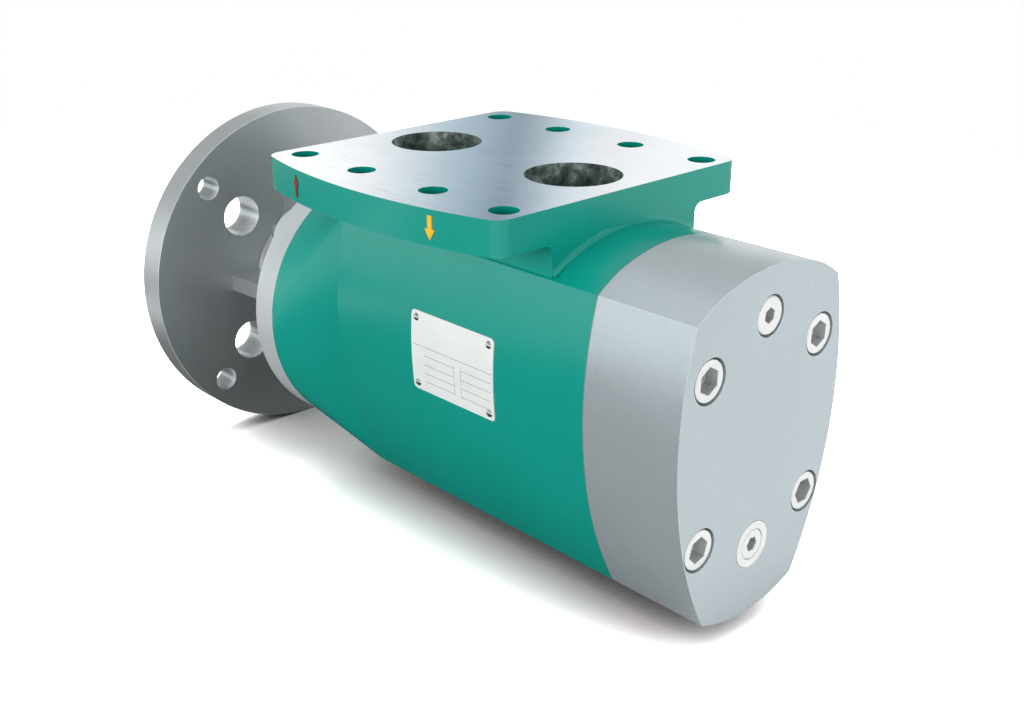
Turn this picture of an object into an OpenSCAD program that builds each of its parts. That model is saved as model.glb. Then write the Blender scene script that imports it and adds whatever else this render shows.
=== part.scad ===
// Three-screw pump with a flange-mounted drive bracket.
// X runs along the shaft from the drive end to the end cover, Z is up.
// The origin is on the shaft axis, in the face of the mounting flange.

/* [Mounting flange] */
// Outside diameter of the mounting flange
flange_d = 250; // [246:1:280]
// Thickness of the flange
flange_t = 22; // [16:1:28]
// Bolt circle of the mounting holes
flange_pcd = 215; // [208:1:222]
// Diameter of the mounting holes
flange_hole_d = 17; // [13:0.5:18]
// Diameter of the centring spigot
spigot_d = 180; // [170:1:184]
// Height of the centring spigot
spigot_h = 5; // [3:0.5:7]
// Diameter of the holes that let a hex key reach the bracket screws
access_d = 30; // [27:1:32]

/* [Drive bracket] */
// Outside diameter of the neck
neck_d = 76; // [74:1:90]
// Length of the neck between the flange and the drive-end disc
neck_l = 82; // [76:1:110]
// Thickness of the side and bottom ribs
rib_t = 12; // [8:1:16]
// Thickness of the top rib
top_rib_t = 25; // [12:1:28]
// Reach of the ribs from the shaft axis, at the flange
rib_reach = 63; // [56:0.5:66]
// Reach of the ribs at the drive-end disc
rib_reach_end = 58.7; // [50:0.1:63]
// Radius of the fillets where the neck meets its two discs
neck_fillet = 3; // [2:0.5:6]
// Diameter of the disc that carries the casing
disc_d = 190; // [186:1:196]
// Thickness of the disc
disc_t = 20; // [16:1:24]
// Diameter of the bosses under the bracket screws
screw_boss_d = 42.5; // [36:0.5:44]
// Height of the bosses
screw_boss_h = 8; // [4:1:10]
// Diameter of the register that centres the bracket in the casing
register_d = 96; // [90:1:100]
// Height of the register
register_h = 6; // [4:0.5:8]

/* [Casing] */
// Length of the casing
casing_l = 274; // [270:1:290]
// Length of the round land at the drive end
land_l = 8; // [4:1:12]
// Length of the blend from round to the four-sided section
blend_l = 40; // [30:1:50]
// Width across the two upper edges
upper_w = 126; // [120:1:132]
// Height of the upper edges above the axis
upper_z = 87.7; // [84:0.1:92]
// Width of the casing near the axis
waist_w = 145; // [142:1:152]
// Height at which the width is taken, below the axis
waist_drop = 2.5; // [0:0.5:6]
// Width across the two lower edges
lower_w = 85.5; // [80:0.5:92]
// Depth of the lower edges below the axis
lower_z = 101.5; // [98:0.5:106]
// Height of the crown above the axis
crown_z = 104.5; // [103:0.5:108]
// Depth of the keel below the axis
keel_z = 110.3; // [109:0.1:116]
// Radius of the lobes of the pumping chamber
chamber_r = 34; // [32:1:35]
// Height of the pumping chamber above and below the axis
chamber_reach = 80; // [78:1:82]
// Radius of the chamber around the power rotor
chamber_belly = 44; // [40:1:50]
// Thickness of the wall at the drive end of the chamber
chamber_wall = 26; // [24:1:30]

/* [Port plate] */
// Height of the plate's top face above the axis
plate_z = 126.7; // [124:0.1:132]
// Thickness of the plate
plate_t = 21; // [18:1:21]
// Distance from the bracket disc to the plate
plate_x = 22.4; // [16:0.2:26]
// Length of the plate along the pump
plate_l = 216.2; // [212:0.2:222]
// Width of the plate at its ends
plate_w = 204.4; // [198:0.2:212]
// Bow of each long side
plate_bow = 16.2; // [8:0.2:20]
// Radius of the plate's corners
plate_corner = 11; // [6:1:12]
// Width of the pedestal under the plate
pedestal_w = 125; // [118:1:128]
// Radius of the fillet between pedestal and plate
pedestal_fillet = 6; // [4:1:13]
// Bore of the suction and discharge ports
port_d = 60; // [50:1:62]
// Distance from the plate's drive end to the discharge port
port_inset = 46.1; // [44:0.1:50]
// Distance between the two ports
port_pitch = 125.8; // [124:0.2:132]
// Spacing of the port bolts along the pump
port_bolt_x = 59; // [56:1:62]
// Spacing of the port bolts across the pump
port_bolt_y = 170.5; // [168:0.5:174]
// Diameter of the port bolt holes
port_hole_d = 17.5; // [13.5:0.5:18]

/* [End cover] */
// Thickness of the end cover
cover_t = 67.5; // [64:0.5:80]
// Thickness of the gasket under the cover
gasket_t = 0.5; // [0.5:0.1:1]
// Depth of the suction pocket in the cover
pocket_l = 24; // [20:1:26]
// Distance of the cover screws from the middle plane
cover_screw_y = 50; // [49:0.5:51]
// Height of the upper cover screws above the axis
cover_screw_up = 52; // [50:0.5:53]
// Depth of the lower cover screws below the axis
cover_screw_down = 49; // [48:0.5:50]

/* [Screws] */
// Thread diameter of the cap screws
screw_d = 16; // [14:1:16]
// Head diameter of the cap screws
head_d = 24; // [22:0.5:25]
// Head height of the cap screws
head_h = 16; // [14:1:16]
// Width across flats of the hex sockets
socket_af = 14; // [10:1:14]
// Length of a cover screw under its head
cover_screw_l = 80; // [74:1:84]
// Length of a bracket screw under its head
bracket_screw_l = 50; // [46:1:54]
// Distance of the bracket screws from the shaft axis, both ways
bracket_screw_yz = 50; // [49:0.5:51]
// Counterbore of the cover screws
counterbore_d = 26.7; // [26:0.1:27.5]

/* [Plugs] */
// Height of the vent plug above the axis
vent_z = 75.7; // [72:0.1:77]
// Diameter of the vent plug's collar
vent_collar_d = 22; // [20:0.5:23]
// Thread diameter of the vent plug
vent_thread_d = 16.6; // [12:0.2:17]
// Depth of the drain plug below the axis
drain_z = 65.2; // [62:0.1:67]
// Collar diameter of the drain bush
drain_bush_d = 29; // [27:0.5:31]
// Thread diameter of the drain bush
drain_bush_thread_d = 22; // [21:0.2:24]
// Collar diameter of the drain plug
drain_plug_d = 19; // [17:0.5:19.5]
// Thread diameter of the drain plug
drain_thread_d = 13.2; // [9:0.2:14]
// Thickness of the plug collars
collar_t = 4; // [3:0.5:5]
// Width across flats of the plugs' hex sockets
plug_af = 8; // [6:0.5:8.5]

/* [Rotors] */
// Root diameter of the power rotor and outside diameter of the idlers
screw_root_d = 38; // [36:1:38]
// Gap taken off each screw profile for running clearance
profile_gap = 0.2; // [0.1:0.05:0.3]
// Radial clearance between the screws and their bores
bore_gap = 0.05; // [0.02:0.01:0.1]
// Length of the screw threads
thread_l = 230; // [224:1:236]
// Thickness of the liner around each idler
liner_wall = 4.5; // [4:0.5:6]
// Diameter of the balance piston
piston_d = 50; // [46:1:54]
// Outside diameter of the throttle bush around the piston
throttle_d = 76; // [70:1:80]
// Diameter of the idler journals
journal_d = 18; // [14:1:20]
// Length of the idler journals
journal_l = 16; // [12:1:20]
// Outside diameter of the idler bushes
idler_bush_d = 28; // [26:1:32]
// Running clearance of journals, piston and seal, on the radius
running_gap = 0.06; // [0.02:0.01:0.1]

/* [Shaft] */
// Diameter of the shaft end
shaft_d = 28; // [24:1:29]
// Length of the shaft end beyond the mounting face
shaft_l = 60; // [50:1:80]
// Diameter of the shaft through the seal
seal_shaft_d = 35; // [34:1:36]
// Width of the key
key_w = 8; // [6:1:10]
// Height of the key
key_h = 7; // [6:0.5:8]
// Length of the key
key_l = 45; // [36:1:48]

/* [Ball bearing] */
// Outside diameter of the bearing
bearing_d = 62; // [60:1:63]
// Bore of the bearing
bearing_bore = 30; // [30:1:32]
// Width of the bearing
bearing_w = 16; // [16:1:18]
// Distance of the bearing from the mounting face
bearing_x = 14; // [13:1:16]
// Diameter of the balls
ball_d = 9.5; // [8.5:0.5:10]
// Number of balls
ball_count = 9; // [7:1:10]

/* [Shaft seal] */
// Outside diameter of the stationary seat
seat_d = 50; // [47:1:51]
// Thickness of the stationary seat
seat_t = 10; // [8:1:12]
// Outside diameter of the rotating ring
ring_d = 48; // [45:1:49]
// Thickness of the rotating ring
ring_t = 10; // [8:1:12]
// Length of the seal spring
spring_l = 22; // [16:1:26]
// Wire diameter of the seal spring
spring_wire = 2.5; // [2:0.1:3]
// Number of coils of the seal spring
spring_coils = 3; // [2:1:4]
// Thickness of the drive collar
drive_collar_t = 9; // [7:1:12]

/* [Nameplate and arrows] */
// Length of the nameplate
nameplate_l = 75.4; // [60:0.2:90]
// Height of the nameplate
nameplate_h = 53.6; // [40:0.2:60]
// Thickness of the nameplate
nameplate_t = 0.8; // [0.5:0.1:1.5]
// Distance from the cover joint to the nameplate
nameplate_inset = 72; // [60:1:90]
// Height of the nameplate's middle above the axis
nameplate_z = 15.3; // [5:0.1:25]
// Head diameter of the rivets
rivet_d = 5; // [4:0.5:7]
// Height of the flow arrows
arrow_h = 14; // [10:0.5:16]
// Thickness of the flow arrows
arrow_t = 0.5; // [0.3:0.1:1]

/* [Hidden] */
$fn = 120;

// How far cuts run past a face, how far joined pieces overlap, and the step in front of the blend
cut = 1;
lip = 0.01;
blend_step = 0.3;

// Clearances on the radius, then along the shaft
seat_gap = 0.05;
thread_gap = 0.1;
screw_hole_gap = 0.75;
vent_gap = 1.2;
vent_seal_rim = 0.4;
bush_gap = 0.3;
drain_gap = 0.25;
snap_gap = 0.1;
seal_seat_gap = 1;
journal_end_gap = 0.3;
hole_tip = 4;

// Stations along the shaft
disc_x = flange_t + neck_l;
boss_x = disc_x - screw_boss_h;
casing_x = disc_x + disc_t;
casing_end = casing_x + casing_l;
lens_x = casing_x + land_l + blend_l;
cover_x = casing_end + gasket_t;
cover_end = cover_x + cover_t;
pocket_end = cover_x + pocket_l;
chamber_x = casing_x + chamber_wall;
rotor_neck_l = 6;
thread_x = chamber_x + rotor_neck_l;
thread_end = thread_x + thread_l;
plate_x0 = casing_x + plate_x;
plate_x1 = plate_x0 + plate_l;
discharge_x = plate_x0 + port_inset;
suction_x = discharge_x + port_pitch;
plate_under = plate_z - plate_t;
liner_x0 = discharge_x + port_d / 2;
web_end = suction_x - port_d / 2;
crown_fillet_r = 3;

// Stations inside the bracket and its seal
bearing_mid = bearing_x + bearing_w / 2;
bearing_end = bearing_x + bearing_w;
bearing_wall = 9;
seat_x = bearing_end + bearing_wall;
ring_x = seat_x + seat_t;
spring_x = ring_x + ring_t;
drive_collar_x = spring_x + spring_l;
seal_chamber_d = ring_d + 8;
seat_flare = 4;
seat_ring_wire = 3;
seat_squeeze = 0.2;
register_ring_wire = 2.6;
register_groove_x = casing_x + register_h / 2;
set_screw_d = 4;

// Rings that hold the bearing in the bracket and on the shaft
retaining_t = 2.5;
retaining_depth = 2;
retaining_reach = 4;
retaining_slot = 8;
circlip_t = 1.5;
circlip_depth = 1;
circlip_reach = 3;
circlip_slot = 6;

// Rolling parts of the ball bearing
ball_pitch_r = (bearing_d + bearing_bore) / 4;
ball_gap = 0.3;
shoulder_w = ball_d * 0.32;
cage_w = ball_d * 1.16;

// Throttle bush and piston
throttle_x = casing_x + register_h;
throttle_end = chamber_x - 4;
throttle_lip = 5;
piston_x = casing_x + 2;

// Cover screws and the vent plug sit just under the cover's face
head_sink = 0.5;
screw_face = cover_end - head_sink;
screw_tip = screw_face - head_h - cover_screw_l;
plug_seal_t = 1;
vent_seat = screw_face - collar_t - plug_seal_t;
drain_seat = cover_end - collar_t;
plug_thread_l = 14;
bush_floor = 2;
bush_seat = pocket_end + journal_l + bush_floor;

// Shaft end
shaft_step_x = bearing_x - 6;
key_x = 5 - shaft_l;
key_z = shaft_d / 2 - key_h * 0.6;
centre_hole_d = 10;
centre_hole_l = 20;

nameplate_x = casing_end - nameplate_inset - nameplate_l;
nameplate_corner = 3;
rivet_inset = 4.6;

// The casing's side, crown and keel are each one arc through three points
function arc_through(a, b, c) =
    let (d = 2 * (a.x * (b.y - c.y) + b.x * (c.y - a.y) + c.x * (a.y - b.y)),
        x = (a * a * (b.y - c.y) + b * b * (c.y - a.y) + c * c * (a.y - b.y)) / d,
        y = (a * a * (c.x - b.x) + b * b * (a.x - c.x) + c * c * (b.x - a.x)) / d)
    [x, y, norm(a - [x, y])];

upper_edge = [upper_w / 2, upper_z];
lower_edge = [lower_w / 2, -lower_z];
side_arc = arc_through(upper_edge, [waist_w / 2, -waist_drop], lower_edge);
crown_arc = arc_through(upper_edge, [0, crown_z], [-upper_edge.x, upper_edge.y]);
keel_arc = arc_through(lower_edge, [0, -keel_z], [-lower_edge.x, lower_edge.y]);
bow_arc = arc_through([plate_x0, plate_w / 2], [(plate_x0 + plate_x1) / 2, plate_w / 2 + plate_bow],
    [plate_x1, plate_w / 2]);

// Screw profile after the usual 3 to 5 ratio: the idler's outside equals the power rotor's root
pitch_r = screw_root_d / 2;
power_r = pitch_r * 5 / 3;
idler_core = pitch_r / 3;
lead = screw_root_d * 10 / 3;
twist = 360 * thread_l / lead;
flank_roll_power = acos(5 / 9);
flank_roll_idler = acos(13 / 15);
arc_steps = 5;
flank_steps = 5;
slice_turn = 15;
slices = ceil(twist / slice_turn);

function polar(r, t) = [r * cos(t), r * sin(t)];

// Path of the idler's edge over the turning power rotor, as radius and angle
function power_flank_r(roll) = pitch_r * sqrt(5 - 4 * cos(roll));
function power_flank_t(roll) = atan2(2 * sin(roll) - sin(2 * roll), 2 * cos(roll) - cos(2 * roll));

// Path of the power rotor's edge over the turning idler
function idler_flank_r(roll) = pitch_r * sqrt(61 / 9 - 20 / 3 * cos(roll));
function idler_flank_t(roll) =
    atan2(5 / 3 * sin(2 * roll) - 2 * sin(roll), 2 * cos(roll) - 5 / 3 * cos(2 * roll));

flank_t = power_flank_t(flank_roll_power);
land_t = 45 - flank_t / 2;

function power_profile() = [for (start = [0, 180]) each concat(
    [for (i = [0 : arc_steps]) polar(power_r, start - land_t + 2 * land_t * i / arc_steps)],
    [for (i = [1 : flank_steps]) let (roll = flank_roll_power * (1 - i / flank_steps))
        polar(power_flank_r(roll), start + land_t + flank_t - power_flank_t(roll))],
    [for (i = [1 : arc_steps]) polar(pitch_r, start + land_t + flank_t + 2 * land_t * i / arc_steps)],
    [for (i = [1 : flank_steps - 1]) let (roll = flank_roll_power * i / flank_steps)
        polar(power_flank_r(roll), start + 3 * land_t + flank_t + power_flank_t(roll))])];

function idler_profile() = [for (start = [0, 180]) each concat(
    [for (i = [0 : 2]) polar(idler_core, start - land_t + land_t * i)],
    [for (i = [1 : flank_steps]) let (roll = flank_roll_idler * i / flank_steps)
        polar(idler_flank_r(roll), start + land_t + idler_flank_t(roll))],
    [for (i = [1 : arc_steps]) polar(pitch_r, start + land_t + flank_t + 2 * land_t * i / arc_steps)],
    [for (i = [1 : flank_steps - 1]) let (roll = flank_roll_idler * (1 - i / flank_steps))
        polar(idler_flank_r(roll), start + 3 * land_t + 2 * flank_t - idler_flank_t(roll))])];

// Extrudes a section drawn in Y and Z from one station to another
module along_x(x0, x1) {
    translate([x0, 0, 0]) rotate([90, 0, 90]) linear_extrude(x1 - x0) children();
}

module rod(x0, x1, d) {
    translate([x0, 0, 0]) rotate([0, 90, 0]) cylinder(d = d, h = x1 - x0);
}

// Turns a list of [radius, station] points about the shaft axis
module turned(points) {
    rotate([0, 90, 0]) rotate_extrude() polygon(points);
}

module tube(x0, x1, d_out, d_in) {
    turned([[d_in / 2, x0], [d_out / 2, x0], [d_out / 2, x1], [d_in / 2, x1]]);
}

// A ring of round wire about the shaft axis
module o_ring(x, r, wire) {
    rotate([0, 90, 0]) rotate_extrude() translate([r, x]) circle(d = wire);
}

module hex_hole(x0, x1, af) {
    translate([x0, 0, 0]) rotate([0, 90, 0]) cylinder(d = af / cos(30), h = x1 - x0, $fn = 6);
}

module disc_2d(arc, inset = 0) {
    translate([arc.x, arc.y]) circle(r = arc.z - inset, $fn = 360);
}

// The four-sided section of the casing and its cover
module casing_section(inset = 0) {
    intersection() {
        disc_2d(side_arc, inset);
        mirror([1, 0]) disc_2d(side_arc, inset);
        disc_2d(crown_arc, inset);
        disc_2d(keel_arc, inset);
    }
}

module chamber_section() {
    lobe_z = chamber_reach - chamber_r;
    square([2 * chamber_r, 2 * lobe_z], center = true);
    for (side = [-1, 1]) translate([0, side * lobe_z]) circle(r = chamber_r);
    circle(r = chamber_belly);
}

module at_bracket_screws() {
    for (y = [-1, 1], z = [-1, 1])
        translate([0, y * bracket_screw_yz, z * bracket_screw_yz]) children();
}

module at_cover_screws() {
    for (y = [-1, 1], z = [cover_screw_up, -cover_screw_down])
        translate([0, y * cover_screw_y, z]) children();
}

// A hex socket cap screw with its head's face at x = 0, pointing along -X
module cap_screw(length) {
    chamfer = 1;
    difference() {
        turned([[0, 0], [head_d / 2 - chamfer, 0], [head_d / 2, -chamfer], [head_d / 2, -head_h],
            [screw_d / 2, -head_h], [screw_d / 2, chamfer - head_h - length],
            [screw_d / 2 - chamfer, -head_h - length], [0, -head_h - length]]);
        hex_hole(-head_h / 2, cut, socket_af);
    }
}

// The bracket is bored in one line for the bearing, the seal's seat and the seal chamber
module bracket_bores() {
    bearing_r = bearing_d / 2 + seat_gap;
    groove_r = bearing_d / 2 + retaining_depth;
    flare_r = seal_shaft_d / 2 + seat_flare;
    seat_r = seat_d / 2 + seat_gap;
    end = casing_x + register_h + cut;
    turned([[0, -spigot_h - cut], [bearing_r, -spigot_h - cut], [bearing_r, bearing_x - retaining_t],
        [groove_r, bearing_x - retaining_t], [groove_r, bearing_x], [bearing_r, bearing_x],
        [bearing_r, bearing_end], [flare_r, bearing_end], [flare_r, seat_x], [seat_r, seat_x],
        [seat_r, ring_x], [seal_chamber_d / 2, ring_x], [seal_chamber_d / 2, end], [0, end]]);
    translate([(seat_x + ring_x) / 2, 0, 0]) seat_groove();
}

// The groove for the seat's ring, cut in the bracket
module seat_groove() {
    rod(-seat_ring_wire / 2, seat_ring_wire / 2, seat_d + 2 * seat_ring_wire - seat_squeeze);
}

// A fillet around the neck on a face, on the side that way points to
module neck_fillet_ring(face, way) {
    edge = face + way * neck_fillet;
    difference() {
        tube(min(face, edge), max(face, edge), neck_d + 2 * neck_fillet, neck_d - 2 * cut);
        o_ring(edge, neck_d / 2 + neck_fillet, 2 * neck_fillet);
    }
}

// The bracket is one casting, kept here as its flange, its ribbed neck and its disc
module mounting_flange() {
    color("silver") difference() {
        union() {
            rod(-spigot_h, flange_t, spigot_d);
            rod(0, flange_t, flange_d);
        }
        bracket_bores();
        for (turn = [45 : 90 : 315]) rotate([turn, 0, 0])
            translate([0, 0, flange_pcd / 2]) rod(-spigot_h - cut, flange_t + cut, flange_hole_d);
        at_bracket_screws() rod(-spigot_h - cut, flange_t + cut, access_d);
    }
}

// A rib stands on the neck and leans in a little towards the disc
module rib(thickness) {
    rotate([90, 0, 0]) translate([0, 0, -thickness / 2]) linear_extrude(thickness)
        polygon([[flange_t, 0], [disc_x, 0], [disc_x, rib_reach_end], [flange_t, rib_reach]]);
}

module drive_bracket() {
    color("silver") difference() {
        union() {
            rod(flange_t, disc_x, neck_d);
            neck_fillet_ring(flange_t, 1);
            neck_fillet_ring(disc_x, -1);
            rib(top_rib_t);
            for (turn = [90 : 90 : 270]) rotate([turn, 0, 0]) rib(rib_t);
        }
        bracket_bores();
    }
}

module bracket_disc() {
    color("silver") difference() {
        union() {
            rod(disc_x, casing_x, disc_d);
            at_bracket_screws() rod(boss_x, disc_x + cut, screw_boss_d);
            rod(casing_x - cut, casing_x + register_h, register_d);
        }
        bracket_bores();
        tube(register_groove_x - register_ring_wire / 2, register_groove_x + register_ring_wire / 2,
            register_d + cut, register_d - 2 * (register_ring_wire + seat_gap));
        at_bracket_screws() rod(boss_x - cut, casing_x + cut, screw_d + 2 * screw_hole_gap);
    }
}

// A corner of the plate is round between its straight end and its bowed side
module plate_corner_cut(end, side) {
    mid = (plate_x0 + plate_x1) / 2;
    c_x = plate_l / 2 - plate_corner;
    c = [c_x, sqrt(pow(bow_arc.z - plate_corner, 2) - pow(c_x, 2)) + bow_arc.y];
    along = (c - [0, bow_arc.y]) / norm(c - [0, bow_arc.y]);
    on_side = c + along * plate_corner;
    translate([mid, 0]) scale([end, side]) difference() {
        polygon([c, [plate_l / 2, c.y], [plate_l / 2 + cut, c.y],
            [plate_l / 2 + cut, plate_w / 2 + plate_bow], on_side + along * cut, on_side]);
        translate(c) circle(r = plate_corner);
    }
}

module plate_outline() {
    difference() {
        intersection() {
            translate([plate_x0, -plate_w]) square([plate_l, 2 * plate_w]);
            disc_2d(bow_arc);
            mirror([0, 1]) disc_2d(bow_arc);
        }
        for (end = [-1, 1], side = [-1, 1]) plate_corner_cut(end, side);
    }
}

module pedestal_section() {
    translate([-pedestal_w / 2, 0]) square([pedestal_w, plate_under + cut]);
    for (side = [0, 1]) mirror([side, 0]) difference() {
        translate([pedestal_w / 2 - lip, plate_under - pedestal_fillet])
            square([pedestal_fillet, pedestal_fillet + cut]);
        translate([pedestal_w / 2 + pedestal_fillet - lip, plate_under - pedestal_fillet])
            circle(r = pedestal_fillet);
    }
}

module at_port_bolts() {
    for (x = [discharge_x, suction_x], i = [-1, 1], j = [-1, 1])
        translate([x + i * port_bolt_x / 2, j * port_bolt_y / 2, 0]) children();
}

// The rib of metal that rounds the inner corner between the crown and the pedestal's end
module crown_fillet() {
    outer_r = crown_arc.z + crown_fillet_r;
    intersection() {
        translate([plate_x1, 0, crown_arc.y]) difference() {
            tube(-cut, crown_fillet_r, 2 * outer_r, 2 * crown_arc.z - 2 * cut);
            o_ring(crown_fillet_r, outer_r, 2 * crown_fillet_r);
        }
        translate([plate_x1 - cut, -pedestal_w / 2, upper_z])
            cube([crown_fillet_r + 2 * cut, pedestal_w, plate_under - upper_z]);
    }
}

module casing_body() {
    hull() {
        rod(casing_x, casing_x + land_l, disc_d, $fn = 96);
        along_x(lens_x - lip, lens_x) casing_section(blend_step);
    }
    along_x(lens_x, casing_end) casing_section();
    along_x(plate_x0, plate_x1) pedestal_section();
    translate([0, 0, plate_under]) linear_extrude(plate_t) plate_outline();
    crown_fillet();
}

module casing() {
    color("lightseagreen") difference() {
        casing_body();
        along_x(chamber_x, casing_end + cut) chamber_section();
        rod(casing_x - cut, throttle_x, register_d + 2 * seat_gap);
        rod(casing_x, throttle_end, throttle_d + 2 * seat_gap);
        rod(casing_x, chamber_x + cut, piston_d + 2 * throttle_lip);
        for (x = [discharge_x, suction_x]) translate([x, 0, 0]) cylinder(d = port_d, h = plate_z + cut);
        at_port_bolts() translate([0, 0, plate_under - pedestal_fillet])
            cylinder(d = port_hole_d, h = plate_z);
        at_bracket_screws()
            rod(casing_x - cut, boss_x + bracket_screw_l + hole_tip, screw_d + 2 * thread_gap);
        at_cover_screws() rod(screw_tip - hole_tip, casing_end + cut, screw_d + 2 * thread_gap);
    }
}

// The end cover is one casting, kept here as the skirt round its pocket and its end wall
module cover_skirt() {
    color("lightgray") difference() {
        along_x(cover_x, pocket_end) casing_section();
        along_x(cover_x - cut, pocket_end + cut) chamber_section();
        at_cover_screws() rod(cover_x - cut, pocket_end + cut, screw_d + 2 * screw_hole_gap);
    }
}

module end_cover() {
    color("lightgray") difference() {
        along_x(pocket_end, cover_end) casing_section();
        at_cover_screws() {
            rod(pocket_end - cut, cover_end, screw_d + 2 * screw_hole_gap);
            rod(screw_face - head_h, cover_end + cut, counterbore_d);
        }
        for (side = [-1, 1]) translate([0, 0, side * screw_root_d])
            rod(pocket_end - cut, bush_seat, idler_bush_d + 2 * seat_gap);
        translate([0, 0, vent_z]) {
            rod(pocket_end - cut, cover_end, vent_thread_d + 2 * thread_gap);
            rod(vent_seat, cover_end + cut, vent_collar_d + 2 * vent_gap);
        }
        translate([0, 0, -drain_z]) {
            rod(pocket_end - cut, cover_end, drain_bush_thread_d + 2 * thread_gap);
            rod(drain_seat, cover_end + cut, drain_bush_d + 2 * bush_gap);
        }
    }
}

module bracket_o_ring() {
    color("black") o_ring(register_groove_x, register_d / 2 - register_ring_wire / 2, register_ring_wire);
}

module cover_gasket() {
    color("dimgray") difference() {
        along_x(casing_end, cover_x) casing_section();
        along_x(casing_end - cut, cover_x + cut) chamber_section();
        at_cover_screws() rod(casing_end - cut, cover_x + cut, screw_d + 2 * screw_hole_gap);
    }
}

module bracket_screws() {
    color("gainsboro") at_bracket_screws() translate([boss_x - head_h, 0, 0])
        mirror([1, 0, 0]) cap_screw(bracket_screw_l);
}

module cover_screws() {
    color("gainsboro") at_cover_screws() translate([screw_face, 0, 0]) cap_screw(cover_screw_l);
}

// A collared plug with its face at x = 0, pointing along -X
module collar_plug(collar_d, thread_d, length) {
    chamfer = 0.6;
    difference() {
        turned([[0, 0], [collar_d / 2 - chamfer, 0], [collar_d / 2, -chamfer], [collar_d / 2, -collar_t],
            [thread_d / 2, -collar_t], [thread_d / 2, -collar_t - length], [0, -collar_t - length]]);
        hex_hole(-length / 2, cut, plug_af);
    }
}

module vent_plug() {
    color("gainsboro") translate([screw_face, 0, vent_z])
        collar_plug(vent_collar_d, vent_thread_d, plug_thread_l);
}

module vent_plug_seal() {
    color("goldenrod") translate([0, 0, vent_z])
        tube(vent_seat, vent_seat + plug_seal_t, vent_collar_d + 2 * vent_seal_rim,
            vent_thread_d + 2 * thread_gap);
}

module drain_bush() {
    bush_tip = drain_seat - plug_thread_l - collar_t;
    color("gainsboro") translate([0, 0, -drain_z]) difference() {
        union() {
            rod(drain_seat, cover_end, drain_bush_d);
            rod(bush_tip, drain_seat + cut, drain_bush_thread_d);
        }
        rod(bush_tip - cut, cover_end, drain_thread_d + 2 * thread_gap);
        rod(drain_seat, cover_end + cut, drain_plug_d + 2 * drain_gap);
    }
}

module drain_plug() {
    color("gainsboro") translate([cover_end, 0, -drain_z])
        collar_plug(drain_plug_d, drain_thread_d, plug_thread_l);
}

module nameplate_outline() {
    r = nameplate_corner;
    translate([nameplate_x + r, nameplate_z - nameplate_h / 2]) square([nameplate_l - 2 * r, nameplate_h]);
    translate([nameplate_x, nameplate_z - nameplate_h / 2 + r]) square([nameplate_l, nameplate_h - 2 * r]);
    for (x = [r, nameplate_l - r], z = [r, nameplate_h - r])
        translate([nameplate_x + x, nameplate_z - nameplate_h / 2 + z]) circle(r = r);
}

// The plate is bent to the casing's side
module nameplate() {
    color("whitesmoke") intersection() {
        translate([0, -waist_w / 4, 0]) rotate([90, 0, 0]) linear_extrude(waist_w / 2) nameplate_outline();
        along_x(nameplate_x - cut, nameplate_x + nameplate_l + cut) mirror([1, 0]) difference() {
            disc_2d([side_arc.x, side_arc.y, side_arc.z + nameplate_t]);
            disc_2d(side_arc);
        }
    }
}

module nameplate_rivets() {
    color("silver") for (x = [rivet_inset, nameplate_l - rivet_inset],
        z = [rivet_inset - nameplate_h / 2, nameplate_h / 2 - rivet_inset]) {
        height = nameplate_z + z - side_arc.y;
        tilt = asin(height / (side_arc.z + nameplate_t));
        translate([nameplate_x + x, -side_arc.x, side_arc.y]) rotate([-tilt, 0, 0])
            translate([0, -side_arc.z - nameplate_t, 0]) rotate([90, 0, 0]) rivet_head();
    }
}

module rivet_head() {
    dome_r = rivet_d * 0.6;
    rise = sqrt(dome_r * dome_r - rivet_d * rivet_d / 4);
    intersection() {
        translate([0, 0, -rise]) sphere(r = dome_r, $fn = 48);
        cylinder(d = rivet_d + 1, h = dome_r);
    }
}

// An arrow drawn in X and Z, its middle at the origin and its point up
module arrow_outline() {
    head_w = arrow_h * 0.5;
    stem_w = arrow_h * 0.22;
    neck_z = arrow_h * 0.05;
    polygon([[0, arrow_h / 2], [-head_w / 2, neck_z], [-stem_w / 2, neck_z], [-stem_w / 2, -arrow_h / 2],
        [stem_w / 2, -arrow_h / 2], [stem_w / 2, neck_z], [head_w / 2, neck_z]]);
}

// Each arrow lies on the bowed near edge of the plate
module flow_arrow(x, points_up) {
    intersection() {
        translate([x, 0, plate_z - plate_t / 2]) rotate([90, 0, 0]) linear_extrude(plate_w)
            mirror([0, points_up ? 0 : 1]) arrow_outline();
        translate([0, 0, plate_under]) linear_extrude(plate_t) mirror([0, 1]) difference() {
            disc_2d([bow_arc.x, bow_arc.y, bow_arc.z + arrow_t]);
            disc_2d(bow_arc);
        }
    }
}

module flow_arrow_out() {
    color("firebrick") flow_arrow(discharge_x, true);
}

module flow_arrow_in() {
    color("gold") flow_arrow(suction_x, false);
}

module liner_outline(wall) {
    for (side = [-1, 1]) translate([0, side * screw_root_d]) circle(r = pitch_r + wall);
    square([2 * (pitch_r + wall), 2 * screw_root_d], center = true);
    circle(r = power_r + wall);
}

module screw_bores(x0, x1) {
    rod(x0, x1, 2 * (power_r + bore_gap));
    for (side = [-1, 1]) translate([0, 0, side * screw_root_d]) rod(x0, x1, 2 * (pitch_r + bore_gap));
}

// The liner fills the chamber between the ports and stands free in the suction chamber
module rotor_liner() {
    color("slategray") difference() {
        union() {
            along_x(liner_x0, web_end) offset_chamber();
            along_x(liner_x0, liner_x0 + lead) liner_outline(liner_wall);
        }
        screw_bores(liner_x0 - cut, liner_x0 + lead + cut);
    }
}

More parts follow.
